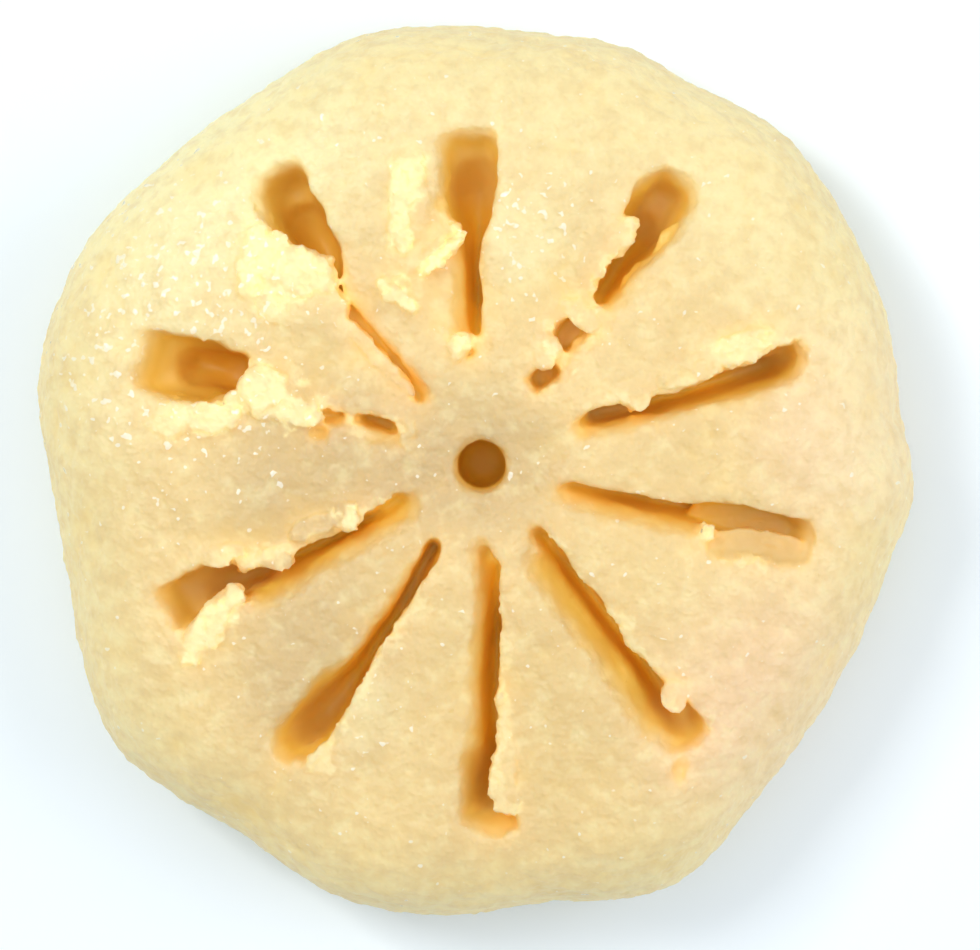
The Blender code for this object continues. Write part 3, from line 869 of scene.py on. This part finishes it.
def torn_share(points):
    """1 where the dough is torn and 0 where it is whole."""
    torn = np.zeros(len(points))
    shift = raggedness(points)
    for _, run in TORN_RUNS:
        away = beside_run(points + shift, run)[0]
        torn = np.maximum(torn, RUN_IS_TORN * (1.0 - smoothstep(away, RUN_CORE, RUN_EDGE)))
    for *oval, shows in SCRAPS:
        share = torn_oval(points, shift, *oval)
        torn = np.maximum(torn, share * smoothstep(shows, SUNK_SCRAP, RAISED_SCRAP))
    whole_below = 1.0 - smoothstep(relief.pit(points), TORN_DEPTH, WHOLE_DEPTH)
    return torn * relief.on_top(points) * whole_below


points = points_of(cookie)
above_foot = smoothstep(points[:, 2], FOOT, ABOVE_FOOT)
torn = torn_share(points)
weigh(cookie, "lumpy", above_foot * (1.0 - SLOT_CALM * smoothstep(relief.pit(points), SLOT_RIM, SLOT_WALL)))
weigh(cookie, "torn", torn)
rub(cookie, TORN_ROUNDS, "torn")
for row in SKIN_TEXTURES:
    push(cookie, *row)
print("Torn skin:", round(float(np.mean(torn > 0.5)) * 100, 1), "% of the points")

# %% [markdown]
# ## Fewer faces where they aren't needed
#
# The even skin spends as many faces on the flat base as on a torn edge. A Decimate modifier removes
# the ones that show least. The points of the base are then set back on the table, and no point may
# leave the solid's box.

# %% Thin out the skin and set it on the table
MOST_TRIANGLES = 190000
BASE_LEVEL = 0.05 * MM
edit(cookie, lambda: bpy.ops.mesh.quads_convert_to_tris())
finish_with(cookie, "DECIMATE", ratio=MOST_TRIANGLES / len(cookie.data.polygons))
rows = points_of(cookie)
rows[:, 2] = np.where(rows[:, 2] < BASE_LEVEL, 0.0, rows[:, 2])
rows = np.clip(rows, np.array(low), np.array(high))
cookie.data.vertices.foreach_set("co", rows.astype(np.float32).ravel())
cookie.data.update()
select_only(cookie)
bpy.ops.object.shade_smooth()
print("The cookie has", len(cookie.data.polygons), "triangles")

# %% [markdown]
# ## What the colour needs to know
#
# The colour follows the shape: it turns deep orange down in the slots, as painted shade and bounce
# light for the light that bounces from wall to wall, browner in their wide outer ends, also painted
# shade, and pale cream where the dough is torn. Three attributes carry that to the material, each a
# number from 0 to 1 at every point.

# %% Store how deep, how torn and how far out in a slot each point is
FULL_DEPTH = 5.0 * MM
OPEN_DEPTH = 1.5


def store(thing, name, values):
    """Keeps one number for each point of a mesh."""
    layer = thing.data.attributes.new(name, "FLOAT", "POINT")
    layer.data.foreach_set("value", np.clip(values, 0.0, 1.0).astype(np.float32))


def open_share(points):
    """1 in the wide outer ends of the slots."""
    share = np.zeros(len(points))
    for x, y, half_length, half_width, heading, deep, *slopes in PRESSES:
        if deep > OPEN_DEPTH:
            share = np.maximum(share, press_share(points, x, y, half_length, half_width, heading, slopes))
    return share


points = points_of(cookie)
store(cookie, "slot_depth", relief.pit(points) / FULL_DEPTH)
store(cookie, "torn_crumb", torn_share(points))
store(cookie, "open_end", open_share(points))
cookie.vertex_groups.clear()
print("Attributes:", [layer.name for layer in cookie.data.attributes if not layer.is_internal])

# %% [markdown]
# ## A small language for materials
#
# A node tree is easier to read as a sum. One small class wraps a socket, so that adding two of them
# adds a Math node, and every other node comes from one method.

# %% Wrap a socket so that shader maths reads like maths


class Flow:
    """A value or colour on its way through a material."""

    def __init__(self, tree, socket=None):
        self.tree = tree
        self.socket = socket

    def node(self, kind, settings=None, sockets=None, output=0):
        """A node of any type, its settings first and then the values or links of its sockets."""
        made = self.tree.nodes.new(kind)
        for name, value in (settings or {}).items():
            setattr(made, name, value)
        for name, value in (sockets or {}).items():
            if isinstance(value, Flow):
                self.tree.links.new(value.socket, made.inputs[name])
            else:
                made.inputs[name].default_value = value
        return Flow(self.tree, made.outputs[output])

    def math(self, operation, first, second):
        return self.node("ShaderNodeMath", {"operation": operation}, {0: first, 1: second})

    def __add__(self, other):
        return self.math("ADD", self, other)

    def __sub__(self, other):
        return self.math("SUBTRACT", self, other)

    def __rsub__(self, other):
        return self.math("SUBTRACT", other, self)

    def __mul__(self, other):
        return self.math("MULTIPLY", self, other)

    def __pow__(self, other):
        return self.math("POWER", self, other)

    __radd__ = __add__
    __rmul__ = __mul__

    def within(self, start, end):
        """0 below start, 1 above end, and an even curve between."""
        return self.node("ShaderNodeMapRange", {"interpolation_type": "SMOOTHSTEP"},
                         {"Value": self, "From Min": start, "From Max": end})

    def tint(self, other, share):
        """This colour, turned into another by a share."""
        return self.node("ShaderNodeMix", {"data_type": "RGBA"}, {0: share, 6: self, 7: other}, 2)


print("Flow is ready")

# %% [markdown]
# ## Buttery dough
#
# Unbrowned shortbread is pale yellow because it is full of butter, and light goes a few millimetres
# into it and comes out again. Subsurface scattering does that: red light travels furthest, so thin
# edges glow and slots turn orange, and a painted amber shade in the slots adds to it.
#
# The colour of each place comes from where it is and from the three attributes. Noise gives patches
# and specks, and round spots that fade out pick single places on the top.

# %% Start the dough's material
SCATTER = 2.2 * MM
RED_GREEN_BLUE_SCATTER = (1.0, 0.55, 0.2)
BUTTER_IOR = 1.55
SPOT_CORE = 0.2

material = bpy.data.materials.new("pale_shortbread_dough")
material.use_nodes = True
shader = material.node_tree.nodes["Principled BSDF"]
shader.subsurface_method = "BURLEY"
shader.inputs["Subsurface Weight"].default_value = 1.0
shader.inputs["Subsurface Radius"].default_value = RED_GREEN_BLUE_SCATTER
shader.inputs["Subsurface Scale"].default_value = SCATTER
shader.inputs["IOR"].default_value = BUTTER_IOR

flow = Flow(material.node_tree)
place = flow.node("ShaderNodeTexCoord", output="Object")
level = flow.node("ShaderNodeVectorMath", {"operation": "MULTIPLY"}, {0: place, 1: (1.0, 1.0, 0.0)})
depth = flow.node("ShaderNodeAttribute", {"attribute_name": "slot_depth"}, output="Fac")
torn = flow.node("ShaderNodeAttribute", {"attribute_name": "torn_crumb"}, output="Fac")
wide = flow.node("ShaderNodeAttribute", {"attribute_name": "open_end"}, output="Fac")


def noise(scale, detail, roughness=0.5):
    """Soft random patches; scale is patches per metre."""
    return flow.node("ShaderNodeTexNoise", {}, {"Vector": place, "Scale": scale, "Detail": detail,
                                                "Roughness": roughness})


def spot(x, y, radius):
    """1 at a place on the top, in mm, fading to 0 at a radius in mm."""
    away = flow.node("ShaderNodeVectorMath", {"operation": "DISTANCE"},
                     {0: level, 1: (x * MM, y * MM, 0.0)}, "Value")
    return away.within(radius * MM, SPOT_CORE * radius * MM)


print("The dough scatters light over", round(SCATTER / MM, 1), "mm")

# %% [markdown]
# ## The colour of the faces
#
# Over the plain dough go large soft patches. Round spots then paint shade: darker over the left petals,
# the hub and the lower petals, and pinkish on the right side. Painted light makes the rim paler, most of
# all at the upper left, and two painted highlights brighten an upper petal and a lower left ridge. Torn
# crumb is cream, and a fine mottle of gold and cream breaks all of it up.

# %% Colour the faces
DOUGH = (0.87, 0.64, 0.28, 1.0)
GOLD = (0.76, 0.54, 0.225, 1.0)
CREAM = (0.96, 0.85, 0.44, 1.0)
# the pinkish painted shade of the right side
PINK_SHADE = (0.90, 0.61, 0.37, 1.0)
OCHRE = (0.64, 0.445, 0.20, 1.0)

# Spots: x and y on the top, and a radius, in mm
LEFT_PETAL = (-8.5, 0.5, 9.0)
LOWER_LEFT_PETAL = (-9.0, -11.0, 8.0)
HUB = (0.6, 0.8, 7.0)
LOWER_PETALS = (4.5, -13.0, 12.0)
RIGHT_SIDE = (23.5, 3.0, 10.0)
LOWER_RIGHT_SIDE = (19.0, -14.0, 12.0)
WITHIN_RIM = (0.0, -3.0, 28.0)
UPPER_LEFT_RIM = (-16.0, 18.0, 15.0)
UPPER_PETAL = (3.0, 14.0, 5.0)
LOWER_LEFT_RIDGE = (-7.0, -13.0, 4.0)

patches = noise(170, 3).within(0.35, 0.68)
mottle = noise(900, 2, 0.55)
colour = flow.node("ShaderNodeMix", {"data_type": "RGBA"}, {0: patches * 0.6, 6: DOUGH, 7: GOLD}, 2)
# painted shade: the left petals and the hub are darkened towards ochre
painted_shade_middle = spot(*LEFT_PETAL) + spot(*LOWER_LEFT_PETAL) + spot(*HUB)
colour = colour.tint(OCHRE, painted_shade_middle * 0.9)
# painted shade: the lower petals are darkened towards gold
colour = colour.tint(GOLD, spot(*LOWER_PETALS) * 0.8)
# painted shade: the right side and the lower right side are tinted darker and pinkish
colour = colour.tint(PINK_SHADE, (spot(*RIGHT_SIDE) + spot(*LOWER_RIGHT_SIDE)) * 0.75)
# painted light: the rim is made paler all round, and most of all at the upper left
painted_rim_light = 0.5 * (1.0 - spot(*WITHIN_RIM)).within(0.55, 1.0) + 0.45 * spot(*UPPER_LEFT_RIM)
# painted highlights: an upper petal and a lower left ridge are made paler too
painted_light = painted_rim_light + 0.5 * spot(*UPPER_PETAL) + 0.5 * spot(*LOWER_LEFT_RIDGE)
colour = colour.tint(CREAM, painted_light)
colour = colour.tint(CREAM, (torn + mottle).within(0.7, 1.6) * 0.85)
colour = colour.tint(GOLD, mottle.within(0.42, 0.75) * 0.42)
colour = colour.tint(CREAM, (1.0 - mottle.within(0.22, 0.55)) * 0.36)
print("The faces take", len(material.node_tree.nodes), "nodes")

# %% [markdown]
# ## The colour of the slots
#
# The deeper a slot, the more amber it is, as painted shade and bounce light. The wide outer ends turn
# to toffee, painted shade too, apart from the two at the upper left, which stay orange. A few slots get
# a browner painted shade, and the shallow pocket beside the right slot gets a tan painted shade.

# %% Colour the slots
AMBER = (0.93, 0.575, 0.055, 1.0)
TOFFEE = (0.84, 0.525, 0.13, 1.0)
BROWN = (0.66, 0.29, 0.01, 1.0)
TAN = (0.56, 0.345, 0.125, 1.0)

# Spots: x and y on the top, and a radius, in mm
UPPER_LEFT_SLOTS = (-12.5, 10.5, 11.0)
LEFT_SLOT_END = (-13.5, 6.2, 5.0)
UPPER_LEFT_SLOT_END = (-10.5, 14.0, 6.0)
LOWER_LEFT_SLOT_END = (-16.0, -7.0, 5.0)
LOWER_RIGHT_SLOT = (8.5, -6.0, 12.0)
POCKET = (17.0, -4.6, 4.8)

# painted shade and bounce light: the deeper in a slot, the more amber
colour = colour.tint(AMBER, depth.within(0.01, 0.42) ** 0.7 * 0.92)
# painted shade: the wide outer ends of the slots turn to toffee, but not the two at the upper left
shaded_open_ends = wide * (1.0 - spot(*UPPER_LEFT_SLOTS))
colour = colour.tint(TOFFEE, shaded_open_ends * depth.within(0.1, 0.6) * 0.8)
# painted shade: three slot ends and the lower right slot are made browner
painted_slot_shade = 0.75 * spot(*LEFT_SLOT_END) + 0.3 * spot(*UPPER_LEFT_SLOT_END) + 0.3 * spot(*LOWER_LEFT_SLOT_END)
painted_slot_shade = painted_slot_shade + 0.3 * spot(*LOWER_RIGHT_SLOT)
colour = colour.tint(BROWN, painted_slot_shade * depth.within(0.1, 0.4))
# painted shade: the shallow pocket beside the right slot is tinted tan
colour = colour.tint(TAN, spot(*POCKET) * depth.within(0.05, 0.13) * 0.6)
print("The faces and the slots take", len(material.node_tree.nodes), "nodes")

# %% [markdown]
# ## Shiny specks with a painted glint, and fine grain
#
# Small specks are shinier than the dough, and each is tinted near white as a painted glint, most of all
# on the left side, an upper petal and a lower ridge, where the light catches. A bump gives the grain that
# is too fine for the mesh. Noise is 0.5 on average, and that is taken off the heights, so the bump fades
# out in the slots without a step at their edges.

# %% Add the specks and the grain, and give the cookie its material
# the near-white colour of the painted glints
GLINT_WHITE = (1.0, 0.95, 0.78, 1.0)
DRY_ROUGHNESS = 0.50
BUMP_HEIGHT = 0.3 * MM

# Spots: x and y on the top, and a radius, in mm
GLINTS_LEFT_SIDE = (-17.0, 9.0, 14.0)
GLINTS_UPPER_PETAL = (3.0, 14.0, 6.0)
GLINTS_LOWER_RIDGE = (-6.0, -13.5, 4.5)

grain = noise(1900, 1)
# where the shiny specks with painted glints gather, most where the light catches
glint_places = spot(*GLINTS_LEFT_SIDE) + spot(*GLINTS_UPPER_PETAL) + 0.7 * spot(*GLINTS_LOWER_RIDGE)
open_air = 1.0 - depth.within(0.0, 0.2)
shine_and_glint = (grain + 0.12 * glint_places).within(0.72, 0.79) * open_air
# painted glint: the shiny specks are tinted near white
colour = colour.tint(GLINT_WHITE, shine_and_glint * 0.7)
roughness = DRY_ROUGHNESS - 0.27 * shine_and_glint
height = ((mottle - 0.5) + 0.8 * (grain - 0.5)) * open_air
bump = flow.node("ShaderNodeBump", {}, {"Strength": 0.8, "Distance": BUMP_HEIGHT, "Height": height})
finish = {"Base Color": colour, "Roughness": roughness, "Normal": bump}
for name, value in finish.items():
    material.node_tree.links.new(value.socket, shader.inputs[name])
cookie.data.materials.clear()
cookie.data.materials.append(material)
print("The dough has", len(material.node_tree.nodes), "nodes")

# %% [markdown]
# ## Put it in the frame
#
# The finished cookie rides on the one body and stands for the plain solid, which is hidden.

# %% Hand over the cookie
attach(cookie, "root")
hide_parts(NODE)
